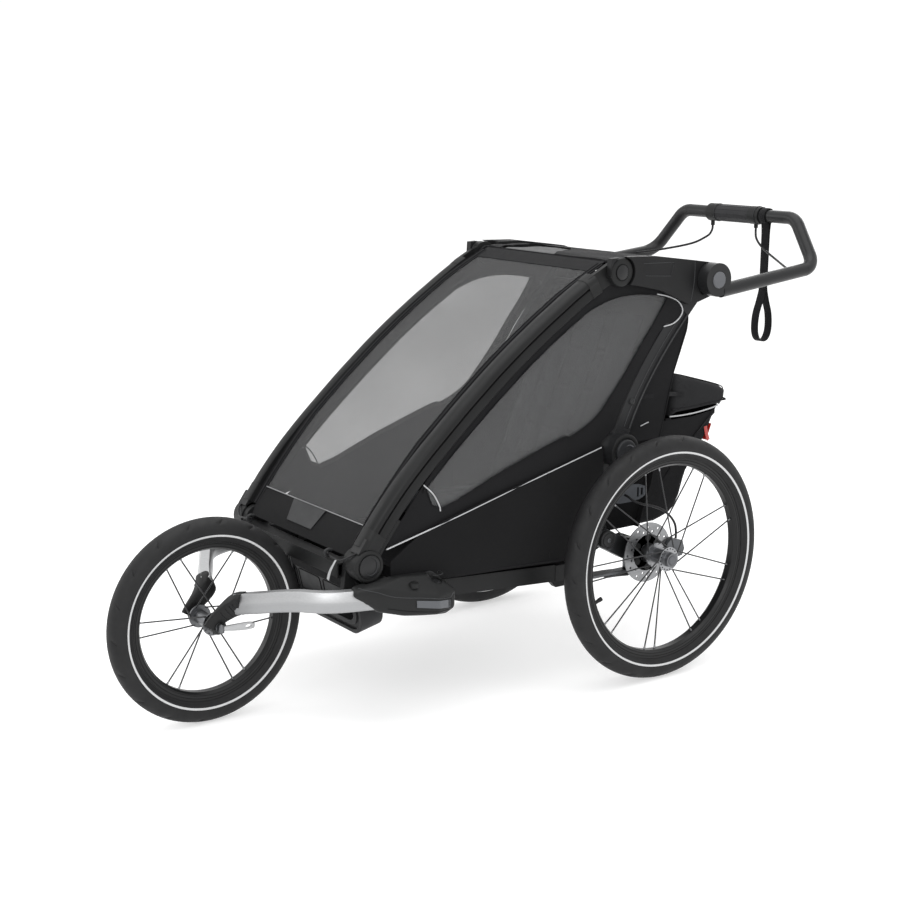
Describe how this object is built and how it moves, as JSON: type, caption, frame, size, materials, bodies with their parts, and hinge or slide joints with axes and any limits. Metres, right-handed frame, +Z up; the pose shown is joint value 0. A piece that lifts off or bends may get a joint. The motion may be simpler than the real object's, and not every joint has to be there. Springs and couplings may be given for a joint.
{
  "type": "baby stroller",
  "caption": "Three-wheeled folding baby stroller: bowed side frame with a fabric cabin, long front arms to a fixed front wheel, large spoked rear wheels and a swivelling handlebar.",
  "frame": {"origin": "middle of the bounding box on the floor between the wheels' contact points", "axes": "+Z up, -Y the way the stroller travels, +X the seated child's left"},
  "size_m": [0.668, 1.5636, 0.924],
  "materials": {
    "frame_dark": "satin dark anodised extrusion",
    "plastic_dark": "fine-grained moulded",
    "plastic_grey": "fine-grained moulded",
    "cap_grey": "satin moulded",
    "arm_metal": "brushed and clear anodised",
    "gear_metal": "machined, dark",
    "hub_metal": "machined",
    "lever_metal": "polished",
    "rim_black": "satin black",
    "spoke_dark": "dark steel with bright nipples",
    "tyre": "slick tread with a fine ribbed sidewall",
    "fabric_black": "plain weave polyester",
    "fabric_mesh": "open mesh",
    "window_tint": "tinted window film",
    "seat_fabric": "padded plain weave",
    "webbing": "ribbed webbing",
    "grip_rubber": "ribbed grip",
    "cable_black": "smooth cable jacket",
    "reflector": "retroreflective tape"
  },
  "bodies": {
    "base": {"side_rails": "frame_dark", "cross_tubes": "frame_dark", "front_bumper": "plastic_grey", "corner_brackets": "plastic_dark", "wing_left": "plastic_dark", "wing_right": "plastic_dark", "jog_arm_left": "arm_metal", "jog_arm_right": "arm_metal", "front_axle": "gear_metal", "rear_bracket_left": "plastic_dark", "rear_bracket_right": "plastic_dark", "footwell": "fabric_black", "side_skirts": "fabric_black", "seat_cushion": "seat_fabric", "cargo_bag": "fabric_black", "reflectors": "reflector", "side_window_left": "window_tint", "side_window_right": "window_tint", "rear_panel": "fabric_black"},
    "seat_back": {"seat_back": "seat_fabric", "harness": "webbing"},
    "front_frame": {"pillar_left": "frame_dark", "pillar_right": "frame_dark", "front_cover": "fabric_mesh"},
    "top_frame": {"top_link_left": "plastic_dark", "top_link_right": "plastic_dark", "roof_panel": "fabric_black"},
    "rear_frame": {"rear_post_left": "frame_dark", "rear_post_right": "frame_dark", "rear_cross_tube": "frame_dark"},
    "handle": {"handlebar": "frame_dark", "brake_housing": "plastic_dark", "brake_cables": "cable_black"},
    "wrist_strap": {"wrist_strap": "webbing"},
    "brake_grip": {"brake_grip": "grip_rubber"},
    "hub_button_left": {"hub_button_left": "cap_grey"},
    "hub_button_right": {"hub_button_right": "cap_grey"},
    "front_wheel": {"front_tyre": "tyre", "front_rim": "rim_black", "front_spokes": "spoke_dark", "front_hub": "hub_metal"},
    "left_wheel": {"left_tyre": "tyre", "left_rim": "rim_black", "left_spokes": "spoke_dark", "left_hub": "hub_metal"},
    "right_wheel": {"right_tyre": "tyre", "right_rim": "rim_black", "right_spokes": "spoke_dark", "right_hub": "hub_metal"},
    "left_wheel_button": {"left_wheel_button": "cap_grey"},
    "right_wheel_button": {"right_wheel_button": "cap_grey"},
    "suspension_left": {"suspension_left": "gear_metal", "brake_hose_left": "cable_black"},
    "suspension_right": {"suspension_right": "gear_metal", "brake_hose_right": "cable_black"},
    "qr_lever": {"qr_lever": "lever_metal"},
    "cargo_lid": {"cargo_lid": "fabric_black"},
    "park_pedal": {"park_pedal": "plastic_dark"},
    "arm_button_left": {"arm_button_left": "plastic_grey"},
    "arm_button_right": {"arm_button_right": "plastic_grey"}
  },
  "joints": [
    {"name": "front_fold", "type": "hinge", "parent": "base", "child": "front_frame", "pos_m": [0, -0.3732, 0.322], "axis": [-1, 0, 0], "range_deg": [0, 19], "deforming": ["side_window_left", "side_window_right", "seat_back", "harness"]},
    {"name": "rear_fold", "type": "hinge", "parent": "base", "child": "rear_frame", "pos_m": [0, 0.2228, 0.466], "axis": [-1, 0, 0], "range_deg": [0, 32.4], "deforming": ["rear_panel"]},
    {"name": "top_fold", "type": "hinge", "parent": "front_frame", "child": "top_frame", "pos_m": [0, 0.2108, 0.822], "axis": [1, 0, 0], "range_deg": [0, 34.4]},
    {"name": "handle_tilt", "type": "hinge", "parent": "top_frame", "child": "handle", "pos_m": [0, 0.4428, 0.797], "axis": [1, 0, 0], "range_deg": [-20, 125]},
    {"name": "strap_swing", "type": "hinge", "parent": "handle", "child": "wrist_strap", "pos_m": [0.0875, 0.7598, 0.904], "axis": [1, 0, 0], "range_deg": [-5, 45]},
    {"name": "brake_twist", "type": "hinge", "parent": "handle", "child": "brake_grip", "pos_m": [-0.008, 0.7598, 0.904], "axis": [1, 0, 0], "range_deg": [0, 45], "stiffness_Nm_per_rad": 1.2, "springref_deg": -8.59},
    {"name": "hub_press_left", "type": "slide", "parent": "handle", "child": "hub_button_left", "axis": [-1, 0, 0], "range_m": [0, 0.004], "stiffness_N_per_m": 800, "springref_m": -0.002},
    {"name": "hub_press_right", "type": "slide", "parent": "handle", "child": "hub_button_right", "axis": [1, 0, 0], "range_m": [0, 0.004], "stiffness_N_per_m": 800, "springref_m": -0.002},
    {"name": "recline", "type": "hinge", "parent": "base", "child": "seat_back", "pos_m": [0, 0.1848, 0.328], "axis": [-1, 0, 0], "range_deg": [0, 8]},
    {"name": "front_spin", "type": "hinge", "parent": "base", "child": "front_wheel", "pos_m": [0, -0.5848, 0.197], "axis": [1, 0, 0], "continuous": true},
    {"name": "suspension_swing_left", "type": "hinge", "parent": "base", "child": "suspension_left", "pos_m": [0.218, 0.1928, 0.285], "axis": [1, 0, 0], "range_deg": [0, 5], "stiffness_Nm_per_rad": 400, "springref_deg": -1.72},
    {"name": "suspension_swing_right", "type": "hinge", "parent": "base", "child": "suspension_right", "pos_m": [-0.218, 0.1928, 0.285], "axis": [1, 0, 0], "range_deg": [0, 5], "stiffness_Nm_per_rad": 400, "springref_deg": -1.72},
    {"name": "left_spin", "type": "hinge", "parent": "suspension_left", "child": "left_wheel", "pos_m": [0.3026, 0.2828, 0.25], "axis": [1, 0, 0], "continuous": true},
    {"name": "right_spin", "type": "hinge", "parent": "suspension_right", "child": "right_wheel", "pos_m": [-0.3026, 0.2828, 0.25], "axis": [1, 0, 0], "continuous": true},
    {"name": "wheel_release_left", "type": "slide", "parent": "left_wheel", "child": "left_wheel_button", "axis": [-1, 0, 0], "range_m": [0, 0.004], "stiffness_N_per_m": 600, "springref_m": -0.002},
    {"name": "wheel_release_right", "type": "slide", "parent": "right_wheel", "child": "right_wheel_button", "axis": [1, 0, 0], "range_m": [0, 0.004], "stiffness_N_per_m": 600, "springref_m": -0.002},
    {"name": "qr_open", "type": "hinge", "parent": "base", "child": "qr_lever", "pos_m": [0.061, -0.5848, 0.197], "axis": [0, 0, -1], "range_deg": [0, 170]},
    {"name": "lid_open", "type": "hinge", "parent": "base", "child": "cargo_lid", "pos_m": [0, 0.4088, 0.59], "axis": [1, 0, 0], "range_deg": [0, 14]},
    {"name": "park_press", "type": "hinge", "parent": "base", "child": "park_pedal", "pos_m": [0, 0.1428, 0.232], "axis": [-1, 0, 0], "range_deg": [0, 18]},
    {"name": "arm_release_left", "type": "slide", "parent": "base", "child": "arm_button_left", "axis": [0, 0, -1], "range_m": [0, 0.004], "stiffness_N_per_m": 900, "springref_m": -0.002},
    {"name": "arm_release_right", "type": "slide", "parent": "base", "child": "arm_button_right", "axis": [0, 0, -1], "range_m": [0, 0.004], "stiffness_N_per_m": 900, "springref_m": -0.002}
  ],
  "couplings": [
    {"joint": "rear_fold", "follows": "front_fold", "ratio": 1.7007},
    {"joint": "top_fold", "follows": "front_fold", "ratio": 1.803}
  ]
}
